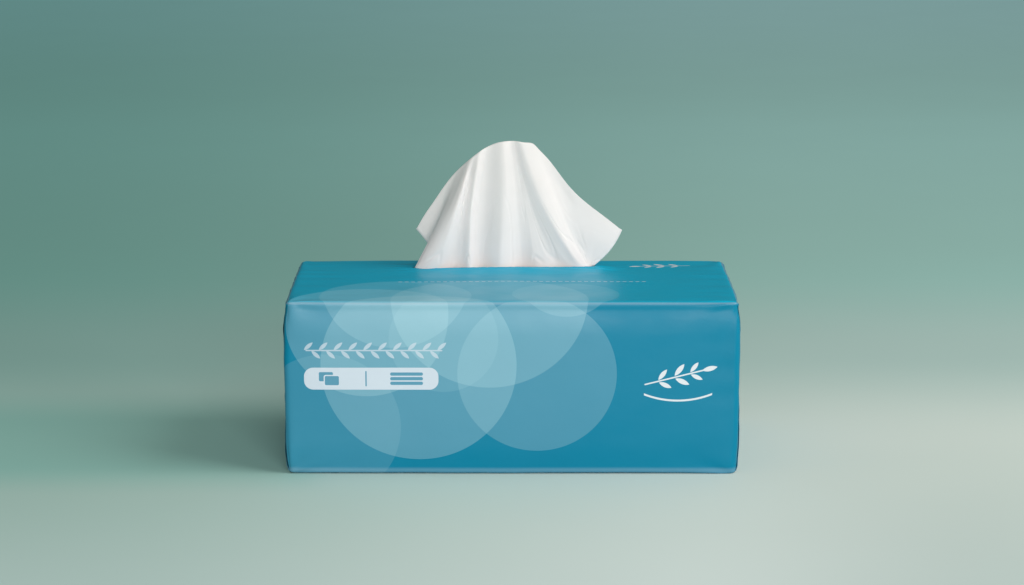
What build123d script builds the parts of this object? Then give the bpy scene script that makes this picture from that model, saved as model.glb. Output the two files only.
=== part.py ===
from build123d import *
from math import radians, tan
import os

# Soft film pack of folded facial tissues, opened along a tear line on its top,
# with the first sheet drawn up through the slit.
# Frame: +Z up, origin under the middle of the pack, +X along its length,
# the printed front faces -Y. Lengths are in millimetres.

# Driving sizes of the pack
pack_length = 200.0
pack_depth = 100.0
pack_height = 78.5
film = 0.25
corner_radius = 2.5
edge_radius = 1.3

# The filled pack swells between its corners: the corner lines move outwards by
# a swell, and each side bows a little more between them
end_swell = 1.2
side_swell = 1.0
end_bow = 1.4
side_bow = 0.9
level_shares = (0.0, 0.18, 0.5, 0.8, 1.0)
swell_shares = (0.0, 0.85, 0.95, 1.0, 0.0)
bow_shares = (0.15, 0.7, 1.0, 0.9, 0.15)

# The bottom panel is drawn up into a shallow pan, so that the pack rests on its rim
pan_rise = 0.9
pan_border = 10.0
pan_slope = 8.0

# Lap seam along the bottom panel, folded flat
seam_width = 12.0
seam_layers = 1.2

# Envelope folds at both ends: a flap from the top and a flap from the bottom,
# with sides at 45 degrees, sealed where they overlap
flap_overlap = 12.0

# Slit torn open in the top panel, and the mound that the drawn sheet lifts there
slit_length = 101.0
slit_width = 12.0
slit_offset_x = -3.0
slit_to_back = 20.0
slit_offset_y = pack_depth / 2 - slit_to_back
mound_rise = 1.6
mound_reach = 12.0
mound_reach_shares = (1.0, 0.72, 0.42, 0.14)
mound_rise_shares = (-0.15, 0.3, 0.85, 1.0)

# The other edge of the tear strip: a line of cuts that still holds
cut_count = 39
cut_pitch = 2.93
cut_length = 1.75
cut_width = 0.5
cut_line_x = 4.6
tear_strip_width = 33.3
cut_line_y = slit_offset_y - tear_strip_width

# Folded sheets inside
film_gap = 0.3
sheet_room = 2.0

# The drawn sheet
tissue = 0.3
tissue_height = 60.4
tissue_half_width = 51.5
fold_depth = 3.2
bend_share = 0.46
leaf = 0.5
leaf_margin = 5.0

# Lines of the drawn sheet from its left side edge, round the front fold and on to its
# right side edge. Each is given at the slit, about halfway up and at the free edge, in
# shares: along the slit (of the half width), up (of the height, past the slit only)
# and to the back (of the fold depth).
foot_shares = (
    (-0.845, 0.85), (-0.878, 0.35), (-0.880, -0.30), (-0.730, -0.90), (-0.571, 0.31),
    (-0.392, -0.95), (-0.262, 0.94), (-0.062, -1.0), (0.089, 0.78), (0.223, -0.47),
    (0.388, 0.56), (0.690, -0.85), (0.720, -0.20), (0.740, 0.15), (0.757, 0.55),
)
middle_shares = (
    (-0.793, 0.190, 1.72), (-0.697, 0.315, 1.25), (-0.693, 0.315, 0.0), (-0.524, 0.397, -1.19),
    (-0.454, 0.414, -0.25), (-0.367, 0.414, -0.94), (-0.241, 0.447, 0.78), (-0.027, 0.464, -1.1),
    (0.087, 0.464, 0.26), (0.175, 0.464, 0.05), (0.262, 0.464, 0.47), (0.396, 0.406, -1.1),
    (0.495, 0.364, 0.40), (0.660, 0.270, 0.55), (0.878, 0.108, 0.95),
)
edge_shares = (
    (-0.874, 0.308, 2.34), (-0.583, 0.679, 1.90), (-0.427, 0.828, 0.80), (-0.369, 0.861, -0.36),
    (-0.330, 0.894, 0.16), (-0.282, 0.927, -0.47), (-0.175, 0.969, 0.47), (0.0, 1.0, -0.63),
    (0.078, 0.998, 0.0), (0.126, 0.990, -0.16), (0.159, 0.985, 0.0), (0.204, 0.974, -0.63),
    (0.301, 0.891, 0.31), (0.565, 0.615, 0.70), (1.0, 0.280, 1.88),
)
section_shares = (0.1, 0.25, 0.45, 0.7, 1.01)

os.makedirs("parts", exist_ok=True)


# Shapes that the film, its hollow and the sheets inside share

def pack_form(inset):
    """The swollen pack with its panned bottom, drawn in by inset on every side."""
    half_length = pack_length / 2 - inset
    half_depth = pack_depth / 2 - inset
    with BuildPart() as form:
        for level, swell, bow in zip(level_shares, swell_shares, bow_shares):
            x = half_length + end_swell * swell
            y = half_depth + side_swell * swell
            height = inset + level * (pack_height - 2 * inset)
            with BuildSketch(Plane.XY.offset(height)) as section:
                with BuildLine():
                    ThreePointArc((-x, -y), (0, -y - side_bow * bow), (x, -y))
                    ThreePointArc((x, -y), (x + end_bow * bow, 0), (x, y))
                    ThreePointArc((x, y), (0, y + side_bow * bow), (-x, y))
                    ThreePointArc((-x, y), (-x - end_bow * bow, 0), (-x, -y))
                make_face()
                fillet(section.vertices(), corner_radius)
        loft()
        fillet(form.faces().filter_by(Axis.Z).edges(), edge_radius)
        # Shallow pan in the bottom panel
        for rise, border in ((0, pan_border), (pan_rise, pan_border + pan_slope)):
            with BuildSketch(Plane.XY.offset(inset + rise)):
                Rectangle(pack_length - 2 * border, pack_depth - 2 * border)
        loft(ruled=True, mode=Mode.SUBTRACT)
        # Mound that the drawn sheet lifts around the slit
        for reach, rise in zip(mound_reach_shares, mound_rise_shares):
            with BuildSketch(Plane.XY.offset(pack_height - inset + mound_rise * rise)):
                with Locations((slit_offset_x, slit_offset_y)):
                    Ellipse(slit_length / 2 + mound_reach * reach, slit_width / 2 + mound_reach * reach)
        loft()
    return form.part


def end_flap(layers, from_top):
    """One envelope flap on the right end, standing out from the pack by its layers."""
    half_width = pack_depth / 2 + side_swell + side_bow
    flap_depth = (pack_height + flap_overlap) / 2
    root = pack_height if from_top else 0
    inward = -1 if from_top else 1
    with BuildPart() as flap:
        with BuildSketch(Plane.YZ.offset(pack_length / 2 - edge_radius)):
            with BuildLine():
                Polyline(
                    (-half_width, root),
                    (half_width, root),
                    (0, root + inward * half_width),
                    close=True,
                )
            make_face()
            with Locations((0, root)):
                Rectangle(2 * half_width, 2 * flap_depth, mode=Mode.INTERSECT)
        extrude(amount=pack_length)
        add(outer_form.moved(Location((layers * film, 0, 0))), mode=Mode.INTERSECT)
    return flap.part


outer_form = pack_form(0)
hollow_form = pack_form(film)
top_flap = end_flap(1, from_top=True)
bottom_flap = end_flap(2, from_top=False)

# Printed film wrap: one folded and heat-sealed skin
with BuildPart() as film_wrap:
    add(outer_form)
    add([top_flap, top_flap.mirror(Plane.YZ), bottom_flap, bottom_flap.mirror(Plane.YZ)])
    add(hollow_form, mode=Mode.SUBTRACT)
    # Lap seam, lying in the pan of the bottom panel
    with BuildSketch(Plane.XY.offset(pan_rise)):
        Rectangle(pack_length - 2 * (pan_border + pan_slope), seam_width)
    extrude(amount=-seam_layers * film)
    # Slit and the line of cuts, through the top panel only
    with BuildSketch(Plane.XY.offset(pack_height + 2 * mound_rise)):
        with Locations((slit_offset_x, slit_offset_y)):
            Ellipse(slit_length / 2, slit_width / 2)
    extrude(amount=-4 * mound_rise, mode=Mode.SUBTRACT)
    with BuildSketch(Plane.XY.offset(pack_height)):
        with Locations((cut_line_x, cut_line_y)):
            with GridLocations(cut_pitch, 0, cut_count, 1):
                Rectangle(cut_length, cut_width)
    extrude(amount=-2 * film, mode=Mode.SUBTRACT)
film_wrap.part.label = "film_wrap"
export_step(film_wrap.part, "parts/film_wrap.step")

# Stack of folded sheets, one solid
stack_top = pack_height - sheet_room
with BuildPart() as tissue_stack:
    add(pack_form(film + film_gap))
    split(bisect_by=Plane.XY.offset(stack_top), keep=Keep.BOTTOM)
tissue_stack.part.label = "tissue_stack"
export_step(tissue_stack.part, "parts/tissue_stack.step")


# The drawn sheet, one pleated skin cut along its free edge

def share_at(height, values, middle_height, edge_height):
    """A share of one sheet line at a height, on a curve through its three given values."""
    low, middle, edge = values
    lower_rise = (middle - low) / middle_height
    upper_rise = (edge - middle) / (edge_height - middle_height)
    if height > edge_height:
        return edge + upper_rise * (height - edge_height)
    curving = (upper_rise - lower_rise) / edge_height
    return low + lower_rise * height + curving * height * (height - middle_height)


def pleat_points(height):
    """Corners of the pleats across the sheet at one height."""
    points = []
    for foot, middle, edge in zip(foot_shares, middle_shares, edge_shares):
        alongs = (foot[0], middle[0], edge[0])
        backs = (foot[1], middle[2], edge[2])
        along = share_at(height, alongs, middle[1], edge[1])
        back = share_at(min(height, edge[1]), backs, middle[1], edge[1])
        points.append(Vector(tissue_half_width * along, slit_offset_y + fold_depth * back))
    return points


def pleat_radius(before, corner, after):
    """Radius that rounds a pleat over a share of its shorter side."""
    turn = radians((corner - before).get_angle(after - corner))
    return bend_share * min((corner - before).length, (after - corner).length) / tan(turn / 2)


foot_share = (film_gap - sheet_room) / tissue_height
free_edge = [
    (tissue_half_width * along, pack_height + tissue_height * up)
    for along, up, back in edge_shares
]
clear_side = 2 * tissue_half_width
with BuildPart() as pulled_tissue:
    for height in (foot_share, *section_shares):
        corners = pleat_points(height)
        with BuildSketch(Plane.XY.offset(pack_height + tissue_height * height)):
            with BuildLine():
                FilletPolyline(
                    *corners,
                    radius=[pleat_radius(*turn) for turn in zip(corners, corners[1:], corners[2:])],
                )
            trace(line_width=tissue)
    loft()
    with BuildSketch(Plane.XZ.offset(-slit_offset_y)):
        with BuildLine():
            Spline(*free_edge)
            Polyline(
                free_edge[-1],
                (clear_side, free_edge[-1][1]),
                (clear_side, 0),
                (-clear_side, 0),
                (-clear_side, free_edge[0][1]),
                free_edge[0],
            )
        make_face()
    extrude(amount=pack_depth, both=True, mode=Mode.INTERSECT)
    # Lower half of the sheet, still folded flat on the stack
    with BuildSketch(Plane.XY.offset(stack_top + film_gap)):
        Rectangle(pack_length - 2 * leaf_margin, pack_depth - 2 * leaf_margin)
    extrude(amount=leaf)
pulled_tissue.part.label = "pulled_tissue"
export_step(pulled_tissue.part, "parts/pulled_tissue.step")
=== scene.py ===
import math

import bmesh
import bpy
import numpy as np
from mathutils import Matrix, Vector, noise


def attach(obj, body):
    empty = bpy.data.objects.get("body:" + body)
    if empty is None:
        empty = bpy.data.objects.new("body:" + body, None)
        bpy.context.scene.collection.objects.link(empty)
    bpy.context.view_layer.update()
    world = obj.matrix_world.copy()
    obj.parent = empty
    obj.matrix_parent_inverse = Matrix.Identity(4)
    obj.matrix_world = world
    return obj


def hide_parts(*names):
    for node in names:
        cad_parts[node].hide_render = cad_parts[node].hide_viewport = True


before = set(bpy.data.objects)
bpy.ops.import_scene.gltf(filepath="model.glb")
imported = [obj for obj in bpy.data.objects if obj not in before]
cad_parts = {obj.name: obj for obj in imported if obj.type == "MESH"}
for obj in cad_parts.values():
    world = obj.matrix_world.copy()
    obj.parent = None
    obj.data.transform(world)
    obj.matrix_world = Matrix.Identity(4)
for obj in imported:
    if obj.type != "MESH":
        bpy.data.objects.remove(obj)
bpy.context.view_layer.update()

# Soft film pack of folded facial tissues with its first sheet drawn up through the slit.
# Row frame: +Z up, the printed front faces -Y. Shapes are worked out in millimetres and
# written to the meshes in metres.
MM = 0.001

# Sizes of the pack, as in the CAD
LENGTH = 200.0
DEPTH = 100.0
HEIGHT = 78.5
HALF_LENGTH = LENGTH / 2
HALF_DEPTH = DEPTH / 2
END_SWELL = 1.2
SIDE_SWELL = 1.0
END_BOW = 1.4
SIDE_BOW = 0.9
LEVELS = (0.0, 0.18, 0.5, 0.8, 1.0)
SWELLS = (0.0, 0.85, 0.95, 1.0, 0.0)
BOWS = (0.15, 0.7, 1.0, 0.9, 0.15)
CORNER = 2.5
EDGE = 1.3
PAN_RISE = 0.9
PAN_BORDER = 10.0
PAN_SLOPE = 8.0
FLAP_OVERLAP = 12.0
SEAM_WIDTH = 12.0

# Film: the width over which its outward directions turn at an edge, how far each kind of
# wrinkle lifts it, and how far the wall sinks behind the crease of the top edge
TURN_WIDTH = 6.0
BROAD_WRINKLES = 0.32
FINE_WRINKLES = 0.12
PULL_LINES = 0.28
PUCKERS = 0.45
WALL_SINK = 0.35
WALL_SINK_BELOW = 4.0
WALL_SINK_SPREAD = 2.6
LARGEST_LIFT = 0.9

# Points of the film: insets from an edge, where the even spacing starts, and its steps
EDGE_INSETS = (0.0, 0.35, 0.8, 1.35, 2.0, 2.8, 3.9)
EVEN_FROM = 5.0
GRID_STEP = 1.75
SLIT_STEP = 0.8

# Folded layers at the ends and along the bottom
FILM_THICKNESS = 0.12
LAYER_RISE = 0.3
FLAP_START = 0.35
FLAP_SPARE = 0.9
FLAP_LIFT = 0.25
FLAP_PUFF = 0.22
SEAM_DROP = 0.32

# Slit, with the lip and the mound round it. After the photograph, the slit is smaller
# and the mound lower than in the CAD.
SLIT_HALF_LENGTH = 43.5
SLIT_HALF_WIDTH = 4.4
SLIT_X = -4.2
SLIT_Y = 30.0
SLIT_SNAP = 0.62
TOOTH_DEPTH = 0.16
LIP_RISE = 0.3
LIP_REACH = 1.6
LIP_SHIFT = 6.0
LIP_SPREAD = 30
MOUND_RISE = 1.0
MOUND_REACH = 14.0
MOUND_START_X = -58.0
MOUND_FULL_X = -8.0

# Line of cuts that still holds, drawn as pale dashes wider than the CAD's cuts so that it shows
CUT_PITCH = 2.93
CUT_COUNT = 39
CUT_LENGTH = 1.75
CUT_WIDTH = 0.9
CUT_X = 4.6
CUT_Y = -3.3

# Stack of folded sheets: its layers, the spacing of the points round it, how far the rows
# of points in a layer tuck in, and its clearance
STACK_BOTTOM = PAN_RISE + 1.0
STACK_TOP = 76.5
STACK_INSET = 1.6
STACK_LAYERS = 46
STACK_STEP = 4.0
STACK_TUCKS = (0.0, 0.22, 0.22)
STACK_CLEARANCE = 0.35

# Drawn sheet: its size, the power of the distance between two fold lines that spaces the
# spline through them, the thickness of its two plies, how far each kind of gather moves
# it, and its lower half on the stack
TISSUE_HEIGHT = 60.4
TISSUE_HALF_WIDTH = 51.5
FOLD_DEPTH = 4.2
FOLD_SPACING = 0.6
PLY = 0.16
GATHERS = 0.34
RIPPLES = 0.15
SOFT_WAVES = 0.5
CREASES = 0.34
LEAF_HALF_LENGTH = 0.972 * HALF_LENGTH
LEAF_LEVEL = 76.9
LEAF_FOLD_RISE = 0.3

# Camera, solved from the corners of the photographed pack. It looks along +Y, tilted in
# degrees from straight down.
CAMERA_DISTANCE = 1298.0
CAMERA_HEIGHT = 333.5
CAMERA_TILT = 78.64
CAMERA_LENS = 101.25
CAMERA_SENSOR = 36.0


def smooth_step(values, low, high):
    """0 below low, 1 above high, and smooth between them."""
    share = np.clip((values - low) / (high - low), 0.0, 1.0)
    return share * share * (3 - 2 * share)


def smooth_table(values, places, heights):
    """A smooth curve without overshoot through a table of places and heights."""
    places = np.asarray(places, float)
    heights = np.asarray(heights, float)
    steps = np.diff(places)
    rises = np.diff(heights) / steps
    slopes = np.zeros(len(places))
    for i in range(1, len(places) - 1):
        if rises[i - 1] * rises[i] > 0:
            slopes[i] = 2 * rises[i - 1] * rises[i] / (rises[i - 1] + rises[i])
    slopes[0] = rises[0]
    slopes[-1] = rises[-1]
    cell = np.clip(np.searchsorted(places, values) - 1, 0, len(steps) - 1)
    share = np.clip((values - places[cell]) / steps[cell], 0.0, 1.0)
    low = (1 + 2 * share) * (1 - share) ** 2
    return (
        low * heights[cell]
        + share * (1 - share) ** 2 * steps[cell] * slopes[cell]
        + (1 - low) * heights[cell + 1]
        + share ** 2 * (share - 1) * steps[cell] * slopes[cell + 1]
    )


def noise_at(points, scale, seed):
    """Soft noise between about -1 and 1 at each point; scale is waves per millimetre."""
    sizes = np.broadcast_to(np.asarray(scale, float), (3,))
    shift = Vector((seed * 7.31, seed * 3.17, seed * 5.53))
    moved = np.asarray(points) * sizes
    return np.array([noise.noise(Vector(p) + shift) for p in moved])


def make_object(name, vertices, faces, corner_uvs=None):
    """A smooth-shaded mesh object from points in millimetres."""
    mesh = bpy.data.meshes.new(name)
    mesh.from_pydata((np.asarray(vertices) * MM).tolist(), [], [list(f) for f in faces])
    if corner_uvs is not None:
        layer = mesh.uv_layers.new(name="print")
        layer.data.foreach_set("uv", np.asarray(corner_uvs, "f").ravel())
    mesh.polygons.foreach_set("use_smooth", [True] * len(mesh.polygons))
    mesh.update()
    piece = bpy.data.objects.new(name, mesh)
    bpy.context.scene.collection.objects.link(piece)
    return piece


def thicken(piece, name, thickness, offset):
    """Gives a skin its thickness, to the inside at -1 and to both sides at 0."""
    solid = piece.modifiers.new(name, "SOLIDIFY")
    solid.thickness = thickness * MM
    solid.offset = offset


def grid_faces(rows, columns, start=0):
    """Quads of a grid of points that is stored row by row."""
    corner = np.arange(rows * columns).reshape(rows, columns) + start
    return np.stack(
        [corner[:-1, :-1], corner[:-1, 1:], corner[1:, 1:], corner[1:, :-1]], axis=-1
    ).reshape(-1, 4)


# Form of the filled pack

def swollen(points):
    """Points of the plain box moved out to the swollen and bowed sides."""
    x, y, z = points.T
    level = np.clip(z / HEIGHT, 0.0, 1.0)
    swell = smooth_table(level, LEVELS, SWELLS)
    bow = smooth_table(level, LEVELS, BOWS)
    along = x / HALF_LENGTH
    across = y / HALF_DEPTH
    x_out = along * (END_SWELL * swell + END_BOW * bow * (1 - np.clip(across ** 2, 0, 1)))
    y_out = across * (SIDE_SWELL * swell + SIDE_BOW * bow * (1 - np.clip(along ** 2, 0, 1)))
    return np.stack([x + x_out, y + y_out, z], axis=1)


def rounded(points):
    """Points of the sharp box drawn in round its corners, with the outward directions."""
    radii = np.array([CORNER, CORNER, EDGE])
    half = np.array([HALF_LENGTH, HALF_DEPTH, HEIGHT / 2])
    middle = np.array([0.0, 0.0, HEIGHT / 2])
    core = np.clip(points - middle, radii - half, half - radii)
    out = (points - middle - core) / radii
    out /= np.linalg.norm(out, axis=1, keepdims=True)
    soft = np.clip(points - middle, TURN_WIDTH - half, half - TURN_WIDTH)
    facing = points - middle - soft
    facing /= np.linalg.norm(facing, axis=1, keepdims=True)
    return middle + core + out * radii, facing


def slit_distance(x, y):
    """How far a place on the top lies outside the slit, along a family of ellipses."""
    low = np.full(x.shape, -SLIT_HALF_WIDTH + 0.01)
    high = np.full(x.shape, 2 * LENGTH)
    for _ in range(40):
        reach = (low + high) / 2
        outside = (
            ((x - SLIT_X) / (SLIT_HALF_LENGTH + reach)) ** 2
            + ((y - SLIT_Y) / (SLIT_HALF_WIDTH + reach)) ** 2
        ) > 1
        low = np.where(outside, reach, low)
        high = np.where(outside, high, reach)
    return (low + high) / 2


def top_rise(x, y):
    """Height that the drawn sheet lifts the top film by, with the lip of the torn slit."""
    reach = slit_distance(x, y)
    turn = np.arctan2(y - SLIT_Y, (x - SLIT_X) * SLIT_HALF_WIDTH / SLIT_HALF_LENGTH)
    mound = MOUND_RISE * (1 - smooth_step(reach, 0.5, MOUND_REACH))
    mound *= smooth_step(x, MOUND_START_X, MOUND_FULL_X)
    # Small folds that run out from the slit
    folds = 0.28 * np.sin(9 * turn + 1.3) + 0.2 * np.sin(17 * turn + 0.4)
    folds *= np.exp(-np.maximum(reach, 0) / 7) * smooth_step(reach, -0.5, 2.5)
    near_middle = np.exp(-(((x - SLIT_X - LIP_SHIFT) / LIP_SPREAD) ** 2))
    lip = LIP_RISE * np.exp(-np.maximum(reach, 0) / LIP_REACH) * near_middle
    return mound + folds + lip


def corner_puckers(points, facing):
    """Small folds that run from the eight corners into the faces."""
    total = np.zeros(len(points))
    for sign_x in (-1, 1):
        for sign_y in (-1, 1):
            for end in (0.0, HEIGHT):
                corner = np.array([sign_x * HALF_LENGTH, sign_y * HALF_DEPTH, end])
                away = points - corner
                distance = np.linalg.norm(away, axis=1) + 1e-6
                unit = np.abs(away) / distance[:, None]
                phase = 2.1 * sign_x + 1.3 * sign_y + 0.05 * end
                turn = unit[:, 0] * 9.0 + unit[:, 1] * 7.0 + unit[:, 2] * 11.0
                fade = np.exp(-distance / 13.0) * smooth_step(distance, 1.0, 7.0)
                total += PUCKERS * np.sin(turn * 1.4 + phase) * fade
    return total


def film_point(points):
    """The film's surface for points of the sharp box, wrinkles included."""
    base, facing = rounded(points)
    x, y, z = points.T
    place = swollen(base)
    broad = noise_at(points, (0.016, 0.02, 0.022), 1.0)
    fine = noise_at(points, (0.05, 0.05, 0.05), 2.0)
    lift = BROAD_WRINKLES * broad + FINE_WRINKLES * fine + corner_puckers(points, facing)
    # Pull lines between the corners, strongest near the ends
    near_end = smooth_step(np.abs(x), 0.62 * HALF_LENGTH, HALF_LENGTH)
    pull = noise_at(points, (0.012, 0.16, 0.11), 3.0)
    lift += PULL_LINES * near_end * pull
    # The wall just under the top edge sinks a little behind the crease
    wall = np.abs(facing[:, 2]) < 0.5
    below = HEIGHT - z
    sink = WALL_SINK * np.exp(-(((below - WALL_SINK_BELOW) / WALL_SINK_SPREAD) ** 2))
    lift -= np.where(wall, sink, 0.0)
    flat_bottom = facing[:, 2] < -0.9
    lift = np.where(flat_bottom, 0.25 * lift, lift)
    lift = np.clip(lift, -LARGEST_LIFT, LARGEST_LIFT)
    place = place + facing * lift[:, None]
    top = facing[:, 2] > 0.7
    rise = np.zeros(len(points))
    rise[top] = top_rise(x[top], y[top])
    place[:, 2] += rise
    # Shallow pan in the bottom
    inset = np.minimum(HALF_LENGTH - np.abs(x), HALF_DEPTH - np.abs(y))
    under = facing[:, 2] < -0.7
    pan = PAN_RISE * smooth_step(inset, PAN_BORDER, PAN_BORDER + PAN_SLOPE)
    place[:, 2] += np.where(under, pan, 0)
    place[:, 2] = np.maximum(place[:, 2], 0.0)
    return place


def spaced(half, step, extra=()):
    """Places from -half to half, closer together at both ends and round extra places."""
    places = [-half + inset for inset in EDGE_INSETS]
    places += [-p for p in places]
    count = int(round(2 * (half - EVEN_FROM) / step))
    places += list(np.linspace(-half + EVEN_FROM, half - EVEN_FROM, count + 1))
    for low, high, fine in extra:
        places = [p for p in places if not low < p < high]
        places += list(np.arange(low, high + fine / 2, fine))
    return np.array(sorted(set(np.round(places, 4))))


def wrap_mesh():
    """The film wrap as one skin with its slit, and print coordinates in metres."""
    slit_band = 2 * SLIT_HALF_WIDTH
    at_slit = (SLIT_Y - slit_band, SLIT_Y + slit_band, SLIT_STEP)
    xs = spaced(HALF_LENGTH, GRID_STEP)
    ys = spaced(HALF_DEPTH, GRID_STEP, extra=[at_slit])
    zs = spaced(HEIGHT / 2, GRID_STEP) + HEIGHT / 2
    points = []
    faces = []
    uvs = []
    start = 0

    def add_side(first, second, place, unrolled, flip):
        nonlocal start
        one, two = np.meshgrid(first, second)
        one = one.ravel()
        two = two.ravel()
        points.append(place(one, two))
        quads = grid_faces(len(second), len(first), start)
        if flip:
            quads = quads[:, ::-1]
        u, v = unrolled(one, two)
        local = quads - start
        faces.append(quads)
        uvs.append(np.stack([u[local], v[local]], axis=-1) * MM)
        start += len(one)

    flat = np.ones
    add_side(xs, zs, lambda x, z: np.stack([x, -HALF_DEPTH * flat(len(x)), z], 1),
             lambda x, z: (x, z), False)
    add_side(xs, ys, lambda x, y: np.stack([x, y, HEIGHT * flat(len(x))], 1),
             lambda x, y: (x, HEIGHT + y + HALF_DEPTH), False)
    add_side(xs, zs, lambda x, z: np.stack([x, HALF_DEPTH * flat(len(x)), z], 1),
             lambda x, z: (x, 2 * HEIGHT + DEPTH - z), True)
    add_side(xs, ys, lambda x, y: np.stack([x, y, 0 * x], 1),
             lambda x, y: (x, -y - HALF_DEPTH), True)
    add_side(ys, zs, lambda y, z: np.stack([HALF_LENGTH * flat(len(y)), y, z], 1),
             lambda y, z: (HALF_LENGTH + y + HALF_DEPTH, z), False)
    add_side(ys, zs, lambda y, z: np.stack([-HALF_LENGTH * flat(len(y)), y, z], 1),
             lambda y, z: (-HALF_LENGTH - y - HALF_DEPTH, z), True)
    points = np.concatenate(points)
    faces = np.concatenate(faces)
    uvs = np.concatenate(uvs)

    # Points next to the slit are drawn to its edge, which keeps the teeth of the torn cuts
    on_top = points[:, 2] > HEIGHT - 1e-6
    x, y = points[:, 0], points[:, 1]
    reach = np.full(len(points), 99.0)
    reach[on_top] = slit_distance(x[on_top], y[on_top])
    near = np.abs(reach) < SLIT_SNAP
    teeth = TOOTH_DEPTH * np.sin(2 * math.pi * x / CUT_PITCH)
    pull = np.where(near, (SLIT_HALF_WIDTH + teeth) / (SLIT_HALF_WIDTH + reach), 1.0)
    points[:, 1] = SLIT_Y + (y - SLIT_Y) * pull
    inside = np.where(near, 0.0, reach) <= 0
    keep = ~np.all(inside[faces], axis=1)
    faces = faces[keep]
    uvs = uvs[keep]
    placed = film_point(points)
    piece = make_object("film_skin", placed, faces, uvs)
    bm = bmesh.new()
    bm.from_mesh(piece.data)
    bmesh.ops.remove_doubles(bm, verts=bm.verts, dist=1e-6)
    loose = [v for v in bm.verts if not v.link_faces]
    bmesh.ops.delete(bm, geom=loose, context="VERTS")
    bm.to_mesh(piece.data)
    bm.free()
    return piece


def end_flap(name, side, from_top, layers):
    """One envelope flap on an end, lying on the film below it."""
    depth = (HEIGHT + FLAP_OVERLAP) / 2
    rows, columns = 46, 90
    points = []
    for row in range(rows):
        share = row / (rows - 1)
        down = FLAP_START + (depth - FLAP_START) * share
        half_width = HALF_DEPTH + FLAP_SPARE - down
        for column in range(columns):
            y = half_width * (2 * column / (columns - 1) - 1)
            z = HEIGHT - down if from_top else down
            points.append((side * HALF_LENGTH, y, z))
    points = np.array(points)
    placed = film_point(points)
    share = np.repeat(np.arange(rows) / (rows - 1), columns)
    edge = np.tile(np.abs(2 * np.arange(columns) / (columns - 1) - 1), rows)
    puff = FLAP_PUFF * noise_at(points, (0.03, 0.05, 0.05), 5.0 + layers + side)
    past_root = smooth_step(share, 0.0, 0.3)
    lift = layers * LAYER_RISE + FLAP_LIFT * smooth_step(share, 0.1, 0.8)
    lift += puff * past_root
    lift += FLAP_LIFT * smooth_step(edge, 0.9, 1.0) * past_root
    placed[:, 0] += side * lift * smooth_step(share, -0.02, 0.06)
    quads = grid_faces(rows, columns)
    if (side > 0) == from_top:
        quads = quads[:, ::-1]
    u = side * (HALF_LENGTH + points[:, 1] + HALF_DEPTH)
    uvs = np.stack([u[quads], points[:, 2][quads]], axis=-1) * MM
    piece = make_object(name, placed, quads, uvs)
    thicken(piece, "thickness", FILM_THICKNESS, -1)
    return piece


def bottom_seam():
    """The lap seam along the bottom, folded flat in the pan."""
    half = HALF_LENGTH - PAN_BORDER - PAN_SLOPE
    rows, columns = 13, 150
    x, y = np.meshgrid(np.linspace(-half, half, columns), np.linspace(-1, 1, rows))
    x, y = x.ravel(), y.ravel() * SEAM_WIDTH / 2
    ripple = 0.08 * np.sin(x * 1.9) * np.abs(y) / SEAM_WIDTH
    z = PAN_RISE - SEAM_DROP - 0.12 * np.cos(y * 2.2) + ripple
    quads = grid_faces(rows, columns)[:, ::-1]
    points = np.stack([x, y, z], 1)
    uvs = np.stack([x[quads], (-y - HALF_DEPTH)[quads]], axis=-1) * MM
    piece = make_object("bottom_seam", points, quads, uvs)
    thicken(piece, "thickness", FILM_THICKNESS, -1)
    return piece


# Fold lines of the drawn sheet, in shares of its half width, height and fold depth. They
# follow the photograph's folds, so they lie some millimetres beside the CAD's lines.
# At the slit: along, back
FOOT = (
    (-0.640, 0.75), (-0.868, 0.30), (-0.885, -0.20), (-0.710, -0.75), (-0.515, 0.30),
    (-0.385, -0.75), (-0.300, 0.12), (-0.120, -0.82), (0.089, 0.35), (0.223, -0.35),
    (0.440, -0.25), (0.645, -0.52), (0.697, -0.10), (0.708, 0.10), (0.718, 0.40),
)
# About halfway up: along, up, back
MIDDLE = (
    (-0.765, 0.190, 2.30), (-0.690, 0.315, 1.20), (-0.693, 0.315, 0.0), (-0.524, 0.397, -1.19),
    (-0.462, 0.414, -0.22), (-0.380, 0.414, -0.85), (-0.300, 0.447, 0.02), (-0.088, 0.464, -0.95),
    (0.065, 0.464, 0.0), (0.135, 0.464, -0.05), (0.198, 0.464, -0.05), (0.322, 0.430, -0.60),
    (0.460, 0.395, 0.05), (0.630, 0.290, 0.35), (0.862, 0.108, 0.50),
)
# At the free edge: along, up, back
FREE = (
    (-0.874, 0.308, 3.10), (-0.583, 0.679, 1.80), (-0.440, 0.818, 0.70), (-0.385, 0.852, -0.10),
    (-0.335, 0.890, -0.35), (-0.285, 0.925, -0.45), (-0.215, 0.966, -0.12), (-0.084, 1.0, -0.50),
    (-0.022, 1.0, -0.20), (0.010, 1.0, -0.12), (0.030, 1.0, -0.20), (0.062, 1.0, -0.60),
    (0.270, 0.925, 0.15), (0.565, 0.615, 0.50), (1.0, 0.280, 1.00),
)


def share_at(height, values, middle_height, edge_height):
    """A share of one sheet line at a height, on a curve through its three given values."""
    low, middle, edge = values
    lower_rise = (middle - low) / middle_height
    upper_rise = (edge - middle) / (edge_height - middle_height)
    curving = (upper_rise - lower_rise) / edge_height
    return low + lower_rise * height + curving * height * (height - middle_height)


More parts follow.
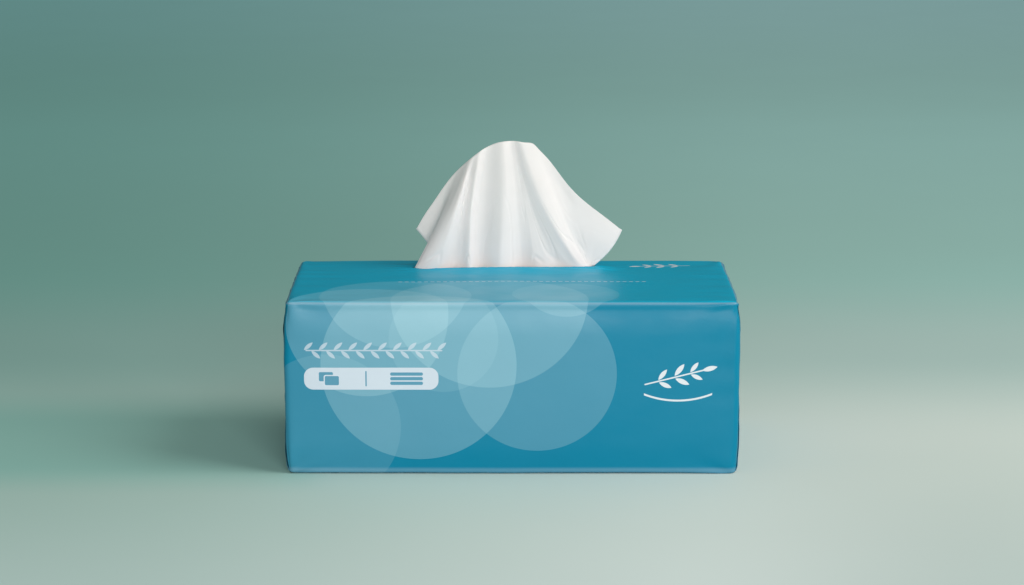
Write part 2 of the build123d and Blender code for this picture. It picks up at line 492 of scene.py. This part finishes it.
def natural_spline(places, values, wanted):
    """A natural cubic spline through values at places, read at the wanted places."""
    n = len(places)
    h = np.diff(places)
    system = np.zeros((n, n))
    right = np.zeros((n, values.shape[1]))
    system[0, 0] = system[-1, -1] = 1
    for i in range(1, n - 1):
        system[i, i - 1:i + 2] = h[i - 1], 2 * (h[i - 1] + h[i]), h[i]
        before = (values[i] - values[i - 1]) / h[i - 1]
        after = (values[i + 1] - values[i]) / h[i]
        right[i] = 6 * (after - before)
    bend = np.linalg.solve(system, right)
    cell = np.clip(np.searchsorted(places, wanted) - 1, 0, n - 2)
    low = (places[cell + 1] - wanted)[:, None]
    high = (wanted - places[cell])[:, None]
    width = h[cell][:, None]
    return (
        bend[cell] * low ** 3 / (6 * width)
        + bend[cell + 1] * high ** 3 / (6 * width)
        + (values[cell] / width - bend[cell] * width / 6) * low
        + (values[cell + 1] / width - bend[cell + 1] * width / 6) * high
    )


# The free edge seen from the front: along and up, read on the plane of the slit
OUTLINE = (
    (-44.6, 18.7), (-40.6, 25.7), (-36.4, 31.8), (-28.2, 43.3), (-18.8, 52.2), (-11.4, 57.4),
    (-7.4, 59.1), (-2.7, 60.0), (2.1, 60.0), (6.1, 59.4), (9.7, 58.9), (11.6, 57.2),
    (16.9, 51.5), (21.6, 45.4), (26.3, 39.2), (33.0, 32.4), (41.8, 25.5), (51.2, 18.1),
)
# From the camera to that plane
SIGHT_DISTANCE = CAMERA_DISTANCE + SLIT_Y

# Lower half, down through the slit, forward over the stack and back again: how far it has
# spread along the pack, how far back it lies (None at the slit) and how high
LOWER_HALF = (
    (0.0, None, LEAF_LEVEL + 1.0),
    (0.02, None, LEAF_LEVEL + 0.45),
    (0.08, 24.0, LEAF_LEVEL + 0.12),
    (0.3, 18.0, LEAF_LEVEL),
    (0.7, 0.0, LEAF_LEVEL),
    (1.0, -25.0, LEAF_LEVEL),
    (1.0, -45.6, LEAF_LEVEL),
    (1.0, -46.8, LEAF_LEVEL + 0.5 * LEAF_FOLD_RISE),
    (1.0, -45.6, LEAF_LEVEL + LEAF_FOLD_RISE),
    (1.0, -20.0, LEAF_LEVEL + LEAF_FOLD_RISE),
    (1.0, 18.0, LEAF_LEVEL + LEAF_FOLD_RISE),
)

# The sheet's own places, across and up, in which its gathers and creases are laid out
CLOTH_WIDTH = 150
CLOTH_HEIGHT = 60


def along_sight(points):
    """Moves points that stand before or behind the slit's plane along the line of sight."""
    reach = 1 + (points[..., 1] - SLIT_Y) / SIGHT_DISTANCE
    moved = points.copy()
    moved[..., 0] *= reach
    moved[..., 2] = CAMERA_HEIGHT - (CAMERA_HEIGHT - points[..., 2]) * reach
    return moved


def sheet_row(share, columns):
    """One row across the sheet, at a share of the way from the slit to the free edge."""
    corners = []
    for foot, middle, free in zip(FOOT, MIDDLE, FREE):
        height = share * free[1]
        along = share_at(height, (foot[0], middle[0], free[0]), middle[1], free[1])
        back = share_at(height, (foot[1], middle[2], free[2]), middle[1], free[1])
        corners.append((
            TISSUE_HALF_WIDTH * along,
            SLIT_Y + FOLD_DEPTH * back,
            HEIGHT + TISSUE_HEIGHT * height,
        ))
    corners = np.array(corners)
    steps = np.linalg.norm(np.diff(corners, axis=0), axis=1) ** FOLD_SPACING
    places = np.concatenate([[0.0], np.cumsum(steps)])
    wanted = np.interp(np.linspace(0, len(corners) - 1, columns), range(len(corners)), places)
    return natural_spline(places, corners, wanted)


def free_heights(free_row):
    """Heights of the free edge above the pack, from its outline."""
    along, up = np.array(OUTLINE).T
    places = np.concatenate([[0.0], np.cumsum(np.hypot(np.diff(along), np.diff(up)))])
    fine = np.linspace(0, places[-1], 600)
    curve = natural_spline(places, np.stack([along, up], 1), fine)
    return np.interp(free_row[:, 0], curve[:, 0], curve[:, 1])


def tissue_mesh():
    """The drawn sheet, with its lower half folded flat on the stack inside the pack."""
    rows, columns = 108, 281
    shares = np.linspace(0, 1, rows)
    sheet = np.array([sheet_row(share, columns) for share in shares])
    lengths = free_heights(sheet[-1])
    straight = HEIGHT + shares[:, None] * lengths[None, :]
    blend = smooth_step(shares, 0.25, 0.9)[:, None]
    sheet[..., 2] = sheet[..., 2] * (1 - blend) + straight * blend
    sheet = along_sight(sheet)
    # Fine gathers that run up from the slit and fade towards the free edge
    up = np.linspace(0, 1, rows)[:, None]
    side = np.linspace(0, 1, columns)[None, :]
    flat = sheet.reshape(-1, 3)
    tangent = np.gradient(sheet, axis=1)
    rise = np.gradient(sheet, axis=0)
    normal = np.cross(tangent, rise)
    normal /= np.linalg.norm(normal, axis=2, keepdims=True) + 1e-9
    across = np.repeat(side, rows, axis=0).ravel() * CLOTH_WIDTH
    along = np.repeat(up, columns, axis=1).ravel() * CLOTH_HEIGHT
    cloth = np.stack([across, along, 0 * along], 1)
    gathers = noise_at(cloth, (0.17, 0.018, 1), 11.0) * GATHERS
    ripples = noise_at(cloth, (0.42, 0.05, 1), 12.0) * RIPPLES
    soft = noise_at(cloth, (0.05, 0.045, 1), 13.0) * SOFT_WAVES
    keep = (0.35 + 0.65 * (1 - up)).repeat(columns, axis=1).ravel()
    low = smooth_step(along, 0.0, 8.0)
    # A few thin creases, strongest at the slit
    crossing = np.abs(noise_at(cloth, (0.11, 0.03, 1), 14.0))
    creases = CREASES * (1 - smooth_step(crossing, 0.0, 0.07))
    creases *= 1 - smooth_step(along, 6.0, 44.0)
    lift = (gathers + ripples) * keep + soft * low - creases
    lift *= 1 - 0.85 * smooth_step(along, 48.0, 60.0)
    held = smooth_step(along, 0.5, 5.0)
    sheet = flat + normal.reshape(-1, 3) * lift[:, None] * held[:, None]
    sheet = sheet.reshape(rows, columns, 3)

    foot = sheet[0]
    spread = np.linspace(-LEAF_HALF_LENGTH, LEAF_HALF_LENGTH, columns)
    below = []
    for share, y, z in LOWER_HALF:
        row = foot.copy()
        row[:, 0] = foot[:, 0] * (1 - share) + spread * share
        if y is not None:
            row[:, 1] = y + (foot[:, 1] - SLIT_Y) * max(0.0, 1 - 4 * share)
        row[:, 2] = z
        below.append(row)
    grid = np.concatenate([np.array(below[::-1]), sheet])
    quads = grid_faces(grid.shape[0], columns)
    piece = make_object("drawn_sheet", grid.reshape(-1, 3), quads)
    thicken(piece, "two plies", PLY, 0)
    return piece


def stack_mesh():
    """The folded sheets, one on another: a block whose sides show the folded edges."""
    half_x = HALF_LENGTH - STACK_INSET
    half_y = HALF_DEPTH - STACK_INSET
    xs = np.linspace(-half_x, half_x, int(2 * half_x / STACK_STEP))
    ys = np.linspace(-half_y, half_y, int(2 * half_y / STACK_STEP))
    ring = [(x, -half_y) for x in xs[:-1]]
    ring += [(half_x, y) for y in ys[:-1]]
    ring += [(x, half_y) for x in xs[::-1][:-1]]
    ring += [(-half_x, y) for y in ys[::-1][:-1]]
    ring = np.array(ring)
    levels = STACK_LAYERS * len(STACK_TUCKS)
    points = []
    for level in range(levels + 1):
        z = STACK_BOTTOM + (STACK_TOP - STACK_BOTTOM) * level / levels
        tuck = STACK_TUCKS[level % len(STACK_TUCKS)]
        draw = 1 - (tuck + STACK_CLEARANCE) / HALF_DEPTH
        points += [(x * draw, y * draw, z) for x, y in ring]
    count = len(ring)
    faces = []
    for level in range(levels):
        for i in range(count):
            j = (i + 1) % count
            faces.append((level * count + i, level * count + j,
                          (level + 1) * count + j, (level + 1) * count + i))
    faces.append(tuple(range(count))[::-1])
    faces.append(tuple(range(levels * count, (levels + 1) * count)))
    return make_object("folded_stack", points, faces)


# Materials

def linear(red, green, blue):
    """An 8-bit screen colour as the linear colour that a shader takes."""
    def one(value):
        value /= 255
        return value / 12.92 if value <= 0.04045 else ((value + 0.055) / 1.055) ** 2.4
    return (one(red), one(green), one(blue), 1.0)


class Nodes:
    """Short calls that add nodes to one material and return their output sockets."""

    def __init__(self, name):
        self.material = bpy.data.materials.new(name)
        self.material.use_nodes = True
        self.tree = self.material.node_tree
        self.shader = self.tree.nodes["Principled BSDF"]

    def node(self, kind, **settings):
        made = self.tree.nodes.new(kind)
        for key, value in settings.items():
            setattr(made, key, value)
        return made

    def feed(self, socket, value):
        if isinstance(value, bpy.types.NodeSocket):
            self.tree.links.new(value, socket)
        else:
            socket.default_value = value

    def math(self, operation, first, second=0.0, third=0.0):
        made = self.node("ShaderNodeMath", operation=operation)
        for socket, value in zip(made.inputs, (first, second, third)):
            self.feed(socket, value)
        return made.outputs[0]

    def times(self, first, second):
        return self.math("MULTIPLY", first, second)

    def mix(self, share, first, second, blend="MIX"):
        made = self.node("ShaderNodeMix", data_type="RGBA", blend_type=blend)
        self.feed(made.inputs[0], share)
        self.feed(made.inputs[6], first)
        self.feed(made.inputs[7], second)
        return made.outputs[2]

    def ramp(self, value, low, high, start=0.0, end=1.0):
        made = self.node("ShaderNodeMapRange", interpolation_type="SMOOTHSTEP")
        for socket, number in zip(made.inputs, (value, low, high, start, end)):
            self.feed(socket, number)
        return made.outputs[0]

    def noise(self, vector, scale, detail=2.0, roughness=0.5):
        made = self.node("ShaderNodeTexNoise")
        self.feed(made.inputs["Vector"], vector)
        made.inputs["Scale"].default_value = scale
        made.inputs["Detail"].default_value = detail
        made.inputs["Roughness"].default_value = roughness
        return made.outputs["Fac"]

    def stretch(self, vector, scale):
        made = self.node("ShaderNodeMapping")
        self.feed(made.inputs["Vector"], vector)
        made.inputs["Scale"].default_value = scale
        return made.outputs[0]

    def bump(self, height, strength, distance, normal=None):
        made = self.node("ShaderNodeBump")
        made.inputs["Strength"].default_value = strength
        made.inputs["Distance"].default_value = distance
        self.feed(made.inputs["Height"], height)
        if normal is not None:
            self.feed(made.inputs["Normal"], normal)
        return made.outputs[0]


# Print of the film. Places are on the unrolled print, in millimetres: across from the
# middle of the pack, and up from the bottom of the front, over its top edge and on
# along the top. Both long sides carry the same print, turned half round on the back.
TEAL = linear(2, 121, 152)
TEAL_DEEP = linear(1, 109, 142)
# Lighter teal for the top panel: painted light on the upward face
TEAL_LIT_TOP = linear(8, 157, 190)
PALE = linear(204, 240, 246)
WHITE = linear(208, 215, 221)
LILAC = linear(196, 208, 220)
INK = linear(30, 128, 158)
PRINT_EDGE = 0.09
DISCS = (
    # across, up, radius, strength
    (-64.0, 72.0, 36.0, 0.11),
    (-82.0, 22.0, 33.0, 0.05),
    (-41.0, 50.0, 43.0, 0.12),
    (-52.0, 92.0, 34.0, 0.09),
    (11.0, 46.0, 35.0, 0.09),
    (-10.0, 84.0, 44.0, 0.11),
    (-30.0, 62.0, 24.0, 0.05),
    (24.0, 96.0, 24.0, 0.08),
)
# Bars: across, up, half length, half height, rounding
PALE_BAR = (-61.8, 44.0, 29.5, 5.0, 4.0)
BAR_MARKS = (
    # A divider, the sheet behind and three lines
    (-64.1, 44.0, 0.3, 3.5, 0.28),
    (-81.7, 44.9, 3.1, 2.1, 0.6),
    (-46.3, 46.1, 7.2, 0.75, 0.7),
    (-46.3, 44.0, 7.2, 0.75, 0.7),
    (-46.3, 41.9, 7.2, 0.75, 0.7),
)
SHEET_GAP = (-79.1, 43.1, 3.6, 2.6, 1.0)
SHEET_IN_FRONT = (-79.1, 43.1, 3.1, 2.1, 0.6)
GARLAND_ROWS = (
    # across, up, half length, pitch, half a leaf's length and width, slant
    (-60.0, 58.7, 32.5, 6.5, 2.6, 0.85, 42.0),
    (-60.0, 54.9, 29.25, 6.5, 2.6, 0.85, -42.0),
)
# A bar again
GARLAND_STEM = (-60.5, 56.8, 30.0, 0.3, 0.28)
# across, up, size, turn
FRONT_SPRIG = (73.0, 45.0, 17.0, 14.0)
TOP_SPRIG = (70.5, HEIGHT + HALF_DEPTH + 35.5, 15.0, 186.0)
# Pairs of leaves on a sprig: place along its stem and reach, in shares of its size
SPRIG_LEAVES = ((-0.55, 0.34), (-0.12, 0.38), (0.3, 0.32))
SPRIG_SLANT = 38.0
# across, up, radius, half length, half height
SPRIG_ARC = (73.0, 74.0, 40.0, 15.0, 0.42)


class Shapes:
    """Distances to simple shapes on the print: below zero inside, in millimetres."""

    def __init__(self, kit, across, up):
        self.kit = kit
        self.across = across
        self.up = up

    def local(self, x, y, turn=0.0):
        """The print's place seen from a shape's middle, turned with the shape."""
        math_ = self.kit.math
        dx = math_("SUBTRACT", self.across, x)
        dy = math_("SUBTRACT", self.up, y)
        return self.turned(dx, dy, turn) if turn else (dx, dy)

    def length(self, x, y):
        times = self.kit.times
        return self.kit.math("SQRT", self.kit.math("ADD", times(x, x), times(y, y)))

    def turned(self, x, y, turn):
        """A place turned by an angle in degrees."""
        math_, times = self.kit.math, self.kit.times
        cos, sin = math.cos(math.radians(turn)), math.sin(math.radians(turn))
        along = math_("ADD", times(x, cos), times(y, sin))
        return along, math_("SUBTRACT", times(y, cos), times(x, sin))

    def past(self, value, limit):
        """How far a value's size lies past a limit, negative inside it."""
        return self.kit.math("SUBTRACT", self.kit.math("ABSOLUTE", value), limit)

    def repeated(self, value, half_length, pitch):
        """A value counted again from the middle of each cell of a row."""
        math_ = self.kit.math
        start = math_("ADD", value, half_length)
        return math_("SUBTRACT", math_("FLOORED_MODULO", start, pitch), pitch / 2)

    def disc(self, x, y, radius):
        return self.kit.math("SUBTRACT", self.length(*self.local(x, y)), radius)

    def bar(self, x, y, half_length, half_height, rounding):
        math_ = self.kit.math
        along, aside = self.local(x, y)
        dx = math_("MAXIMUM", self.past(along, half_length - rounding), 0.0)
        dy = math_("MAXIMUM", self.past(aside, half_height - rounding), 0.0)
        return math_("SUBTRACT", self.length(dx, dy), rounding)

    def arc(self, x, y, radius, half_length, half_height):
        """The lowest part of a ring."""
        math_ = self.kit.math
        ring = self.past(self.disc(x, y, radius), half_height)
        along, above = self.local(x, y)
        ends = self.past(along, half_length)
        return math_("MAXIMUM", math_("MAXIMUM", ring, ends), above)

    def leaf(self, along, aside, half_length, half_width):
        """A leaf with pointed ends, at a place already seen from its middle."""
        math_ = self.kit.math
        radius = (half_length ** 2 + half_width ** 2) / (2 * half_width)
        deep = math_("ADD", math_("ABSOLUTE", aside), radius - half_width)
        return math_("SUBTRACT", self.length(along, deep), radius)

    def nearest(self, *distances):
        found = distances[0]
        for distance in distances[1:]:
            found = self.kit.math("MINIMUM", found, distance)
        return found

    def sprig(self, x, y, size, turn):
        """A plain sprig: a stem, three pairs of leaves and one at the tip."""
        math_ = self.kit.math
        along, aside = self.local(x, y, turn)
        aside = math_("ABSOLUTE", aside)
        leaves = []
        for place, reach in SPRIG_LEAVES:
            dx = math_("SUBTRACT", along, (place + 0.5 * reach) * size)
            dy = math_("SUBTRACT", aside, 0.42 * reach * size)
            one, two = self.turned(dx, dy, SPRIG_SLANT)
            leaves.append(self.leaf(one, two, 0.52 * reach * size, 0.17 * reach * size))
        tip = self.leaf(math_("SUBTRACT", along, 0.84 * size), aside, 0.2 * size, 0.065 * size)
        stem_end = self.past(math_("ADD", along, 0.1 * size), 0.78 * size)
        stem_end = math_("MAXIMUM", stem_end, 0.0)
        stem = math_("SUBTRACT", self.length(stem_end, aside), 0.018 * size)
        return self.nearest(stem, tip, *leaves)

    def row(self, x, y, half_length, pitch, leaf_length, leaf_width, slant):
        """A row of slanted leaves at an even pitch."""
        along, aside = self.local(x, y)
        one, two = self.turned(self.repeated(along, half_length, pitch), aside, slant)
        shape = self.leaf(one, two, leaf_length, leaf_width)
        return self.kit.math("MAXIMUM", shape, self.past(along, half_length))

    def dashes(self, x, y, pitch, count, dash_length, dash_height):
        """A dashed line with a middle at x, y."""
        math_ = self.kit.math
        along, aside = self.local(x, y)
        half = pitch * count / 2
        dash = self.past(self.repeated(along, half, pitch), dash_length / 2)
        thin = self.past(aside, dash_height / 2)
        return math_("MAXIMUM", math_("MAXIMUM", dash, thin), self.past(along, half))

    def inside(self, distance, strength):
        """Strength inside the shape and 0 outside, with a clean printed edge."""
        return self.kit.ramp(distance, -PRINT_EDGE, PRINT_EDGE, strength, 0.0)


def film_material():
    """Glossy printed film: teal with pale overlapping discs and plain white shapes."""
    kit = Nodes("printed_film")
    coordinates = kit.node("ShaderNodeUVMap", uv_map="print").outputs[0]
    split = kit.node("ShaderNodeSeparateXYZ")
    kit.feed(split.inputs[0], coordinates)
    across = kit.math("DIVIDE", split.outputs[0], MM)
    up = kit.math("DIVIDE", split.outputs[1], MM)
    place = kit.node("ShaderNodeTexCoord").outputs["Object"]
    # The back repeats the front: past the middle of the print it is seen turned round
    behind = kit.math("GREATER_THAN", up, HEIGHT + DEPTH)
    sign = kit.math("MULTIPLY_ADD", behind, -2.0, 1.0)
    front_across = kit.times(across, sign)
    turned_up = kit.math("SUBTRACT", 2 * HEIGHT + DEPTH, up)
    front_up = kit.math("ADD", kit.times(up, kit.math("SUBTRACT", 1.0, behind)),
                        kit.times(turned_up, behind))
    shapes = Shapes(kit, front_across, front_up)

    cloudy = kit.noise(kit.stretch(place, (14, 14, 20)), 1.0, 2.0)
    colour = kit.mix(kit.times(cloudy, 0.5), TEAL, TEAL_DEEP)
    # The top panel takes the lighter teal: painted light where the film faces up
    top = kit.times(kit.ramp(up, HEIGHT - 1, HEIGHT + 1),
                    kit.ramp(up, HEIGHT + DEPTH - 1, HEIGHT + DEPTH + 1, 1.0, 0.0))
    colour = kit.mix(top, colour, TEAL_LIT_TOP)
    for x, y, radius, strength in DISCS:
        colour = kit.mix(shapes.inside(shapes.disc(x, y, radius), strength), colour, PALE)
    marks = shapes.nearest(*(shapes.bar(*mark) for mark in BAR_MARKS))
    rows = [shapes.row(*row) for row in GARLAND_ROWS]
    garland = shapes.nearest(*rows, shapes.bar(*GARLAND_STEM))
    front_mark = shapes.nearest(shapes.sprig(*FRONT_SPRIG), shapes.arc(*SPRIG_ARC))
    cut_line = (CUT_X, HEIGHT + HALF_DEPTH + CUT_Y)
    cuts = shapes.dashes(*cut_line, CUT_PITCH, CUT_COUNT, CUT_LENGTH, CUT_WIDTH)
    for distance, strength, tone in (
        (shapes.bar(*PALE_BAR), 0.92, LILAC),
        (marks, 0.85, INK),
        (shapes.bar(*SHEET_GAP), 1.0, LILAC),
        (shapes.bar(*SHEET_IN_FRONT), 0.85, INK),
        (garland, 0.62, LILAC),
        (front_mark, 0.94, WHITE),
        (shapes.sprig(*TOP_SPRIG), 0.94, WHITE),
        (cuts, 0.85, LILAC),
    ):
        colour = kit.mix(shapes.inside(distance, strength), colour, tone)
    # Pale bands along the top and bottom edges of the front: painted highlights, with a little
    # whitening of the creased film
    top_edge_highlight = kit.math("ABSOLUTE", kit.math("SUBTRACT", front_up, HEIGHT - 0.5))
    colour = kit.mix(kit.ramp(top_edge_highlight, 0.35, 0.95, 0.2, 0.0), colour, LILAC)
    # Painted highlight along the bottom edge, with a little whitening of the creased film
    under = kit.math("ABSOLUTE", kit.math("SUBTRACT", front_up, 1.4))
    colour = kit.mix(kit.ramp(under, 0.4, 2.2, 0.13, 0.0), colour, LILAC)
    kit.feed(kit.shader.inputs["Base Color"], colour)

    patches = kit.noise(kit.stretch(place, (45, 60, 60)), 1.0, 3.0)
    kit.feed(kit.shader.inputs["Roughness"], kit.ramp(patches, 0.3, 0.7, 0.36, 0.46))
    kit.shader.inputs["Specular IOR Level"].default_value = 0.15
    creases = kit.noise(kit.stretch(place, (70, 120, 90)), 1.0, 3.0)
    fine = kit.noise(kit.stretch(place, (500, 500, 500)), 1.0, 2.0)
    first = kit.bump(creases, 0.3, 0.0005)
    kit.feed(kit.shader.inputs["Normal"], kit.bump(fine, 0.08, 0.0001, first))
    return kit.material


def tissue_material():
    kit = Nodes("soft_tissue")
    place = kit.node("ShaderNodeTexCoord").outputs["Object"]
    tone = kit.noise(place, 60.0, 3.0)
    colour = kit.mix(tone, linear(240, 235, 235), linear(249, 244, 244))
    kit.feed(kit.shader.inputs["Base Color"], colour)
    kit.shader.inputs["Roughness"].default_value = 0.92
    kit.shader.inputs["Specular IOR Level"].default_value = 0.2
    kit.shader.inputs["Subsurface Weight"].default_value = 0.5
    kit.shader.inputs["Subsurface Radius"].default_value = (1.0, 1.0, 1.0)
    kit.shader.inputs["Subsurface Scale"].default_value = 0.003
    crepe = kit.noise(kit.stretch(place, (900, 900, 2600)), 1.0, 2.0)
    kit.feed(kit.shader.inputs["Normal"], kit.bump(crepe, 0.2, 0.00012))
    return kit.material


# Painted shade between the stacked sheets: lines of darker tone up the stack's sides, in radians
# a metre
SHEET_SHADE_LINES = 3800.0


def stack_material():
    kit = Nodes("stacked_paper")
    place = kit.node("ShaderNodeTexCoord").outputs["Object"]
    split = kit.node("ShaderNodeSeparateXYZ")
    kit.feed(split.inputs[0], place)
    # Painted shade: darker lines between the stacked sheets
    layers = kit.math("SINE", kit.times(split.outputs[2], SHEET_SHADE_LINES))
    tone = kit.math("MULTIPLY_ADD", layers, 0.25, 0.5)
    colour = kit.mix(tone, linear(214, 216, 218), linear(240, 241, 242))
    kit.feed(kit.shader.inputs["Base Color"], colour)
    kit.shader.inputs["Roughness"].default_value = 0.9
    return kit.material


# Build the pieces
wrap = wrap_mesh()
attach(wrap, "root")
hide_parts("film_wrap")
film = film_material()
film_pieces = [wrap]
for side, word in ((-1, "left"), (1, "right")):
    for from_top, layers, level in ((True, 1, "top"), (False, 2, "bottom")):
        flap = end_flap(f"{word}_{level}_flap", side, from_top, layers)
        film_pieces.append(flap)
film_pieces.append(bottom_seam())
for piece in film_pieces:
    piece.data.materials.append(film)
    if piece is not wrap:
        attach(piece, "root")

stack = stack_mesh()
stack.data.materials.append(stack_material())
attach(stack, "root")
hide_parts("tissue_stack")

sheet = tissue_mesh()
sheet.data.materials.append(tissue_material())
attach(sheet, "root")
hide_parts("pulled_tissue")


# Stage: a broad floor whose colour fades into the distance. Its size is in millimetres,
# as all shapes are, and the places in its material are in metres.
FLOOR_HALF = 9000.0
FLOOR_FRONT = -0.3
FLOOR_SPAN = 2.6
FLOOR_STOPS = (
    # share of the way from the front to the far end, colour
    (0.0, linear(207, 224, 223)),
    (0.115, linear(209, 225, 220)),
    (0.192, linear(172, 202, 198)),
    (0.28, linear(156, 202, 196)),
    (0.55, linear(168, 220, 217)),
    (1.0, linear(186, 242, 247)),
)
FLOOR_LEFT = (0.60, 0.77, 0.745, 1.0)
FLOOR_RIGHT = (1.0, 1.0, 1.0, 1.0)
# Tint of the painted shadow to the left of the pack
FLOOR_PAINTED_SHADOW = (0.70, 0.91, 0.90, 1.0)
FLOOR_SHADE = linear(120, 150, 144)
NEAREST_FAN = 0.9


def floor_material():
    kit = Nodes("stage_floor")
    place = kit.node("ShaderNodeTexCoord").outputs["Object"]
    split = kit.node("ShaderNodeSeparateXYZ")
    kit.feed(split.inputs[0], place)
    x, y = split.outputs[0], split.outputs[1]
    ramp = kit.node("ShaderNodeValToRGB")
    far = kit.math("DIVIDE", kit.math("ADD", y, -FLOOR_FRONT), FLOOR_SPAN)
    kit.feed(ramp.inputs[0], far)
    ramp.color_ramp.interpolation = "EASE"
    while len(ramp.color_ramp.elements) < len(FLOOR_STOPS):
        ramp.color_ramp.elements.new(0.5)
    for element, (position, tone) in zip(ramp.color_ramp.elements, FLOOR_STOPS):
        element.position = position
        element.color = tone
    # Darker to the left: a fan of tones that opens from below the camera. Nearer to the
    # camera than NEAREST_FAN it keeps its width.
    away = kit.math("MAXIMUM", kit.math("ADD", y, CAMERA_DISTANCE * MM), NEAREST_FAN)
    sideways = kit.math("DIVIDE", x, away)
    fan = kit.ramp(sideways, -0.19, 0.12)
    near = kit.ramp(y, -0.24, -0.06, 0.3, 0.0)
    fan = kit.math("ADD", fan, kit.times(near, kit.math("SUBTRACT", 1.0, fan)))
    side = kit.mix(fan, FLOOR_LEFT, FLOOR_RIGHT)
    colour = kit.mix(1.0, ramp.outputs[0], side, "MULTIPLY")
    # Painted shadow: darker and greener to the left of the pack, where its shadow falls
    painted_shadow = kit.times(kit.ramp(y, -0.09, -0.035), kit.ramp(y, 0.04, 0.12, 1.0, 0.0))
    painted_shadow = kit.times(painted_shadow, kit.ramp(x, -0.10, -0.075, 1.0, 0.0))
    colour = kit.mix(painted_shadow, colour, FLOOR_PAINTED_SHADOW, "MULTIPLY")
    # Darker towards the front on the right
    corner = kit.times(kit.ramp(sideways, 0.05, 0.18), kit.ramp(y, -0.25, 0.15, 0.3, 0.0))
    colour = kit.mix(corner, colour, FLOOR_SHADE)
    grain = kit.noise(place, 9.0, 2.0)
    colour = kit.mix(kit.times(grain, 0.06), colour, FLOOR_SHADE)
    kit.feed(kit.shader.inputs["Base Color"], colour)
    kit.shader.inputs["Roughness"].default_value = 0.9
    kit.shader.inputs["Specular IOR Level"].default_value = 0.1
    return kit.material


floor = make_object(
    "stage_floor",
    [(x * FLOOR_HALF, y * FLOOR_HALF, 0.0) for x, y in ((-1, -1), (1, -1), (1, 1), (-1, 1))],
    [(0, 1, 2, 3)],
)
floor.data.materials.append(floor_material())

# Studio light: two lamps, and a plain world that the camera and the reflections see
# greener than it lights
WORLD_LIGHT = linear(238, 234, 228)
WORLD_SEEN = linear(122, 156, 150)
WORLD_STRENGTH = 0.38
LAMP_TARGET = (0.0, 0.0, 0.06)
LAMPS = (
    # name, place, size, watts, colour
    ("key", (1.25, -0.45, 1.15), 1.05, 19.5, (1.0, 0.945, 0.905)),
    ("front_fill", (0.3, -1.95, 0.41), 0.78, 28.5, (1.0, 0.95, 0.915)),
)

world = bpy.data.worlds.new("studio")
world.use_nodes = True
tree = world.node_tree
light_path = tree.nodes.new("ShaderNodeLightPath")
seen = tree.nodes.new("ShaderNodeMath")
seen.operation = "MAXIMUM"
tree.links.new(light_path.outputs["Is Camera Ray"], seen.inputs[0])
tree.links.new(light_path.outputs["Is Glossy Ray"], seen.inputs[1])
tone = tree.nodes.new("ShaderNodeMix")
tone.data_type = "RGBA"
tone.inputs[6].default_value = WORLD_LIGHT
tone.inputs[7].default_value = WORLD_SEEN
tree.links.new(seen.outputs[0], tone.inputs[0])
tree.links.new(tone.outputs[2], tree.nodes["Background"].inputs[0])
tree.nodes["Background"].inputs[1].default_value = WORLD_STRENGTH
bpy.context.scene.world = world


def area_lamp(name, place, size, energy, colour):
    lamp = bpy.data.lights.new(name, "AREA")
    lamp.shape = "SQUARE"
    lamp.size = size
    lamp.energy = energy
    lamp.color = colour
    piece = bpy.data.objects.new(name, lamp)
    piece.location = place
    aim = Vector(LAMP_TARGET) - Vector(place)
    piece.rotation_euler = aim.to_track_quat("-Z", "Y").to_euler()
    bpy.context.scene.collection.objects.link(piece)


for settings in LAMPS:
    area_lamp(*settings)

camera_data = bpy.data.cameras.new("photo_camera")
camera_data.lens = CAMERA_LENS
camera_data.sensor_width = CAMERA_SENSOR
camera = bpy.data.objects.new("photo_camera", camera_data)
camera.location = (0.0, -CAMERA_DISTANCE * MM, CAMERA_HEIGHT * MM)
camera.rotation_euler = (math.radians(CAMERA_TILT), 0.0, 0.0)
bpy.context.scene.collection.objects.link(camera)
bpy.context.scene.camera = camera
bpy.context.scene.view_settings.view_transform = "Standard"
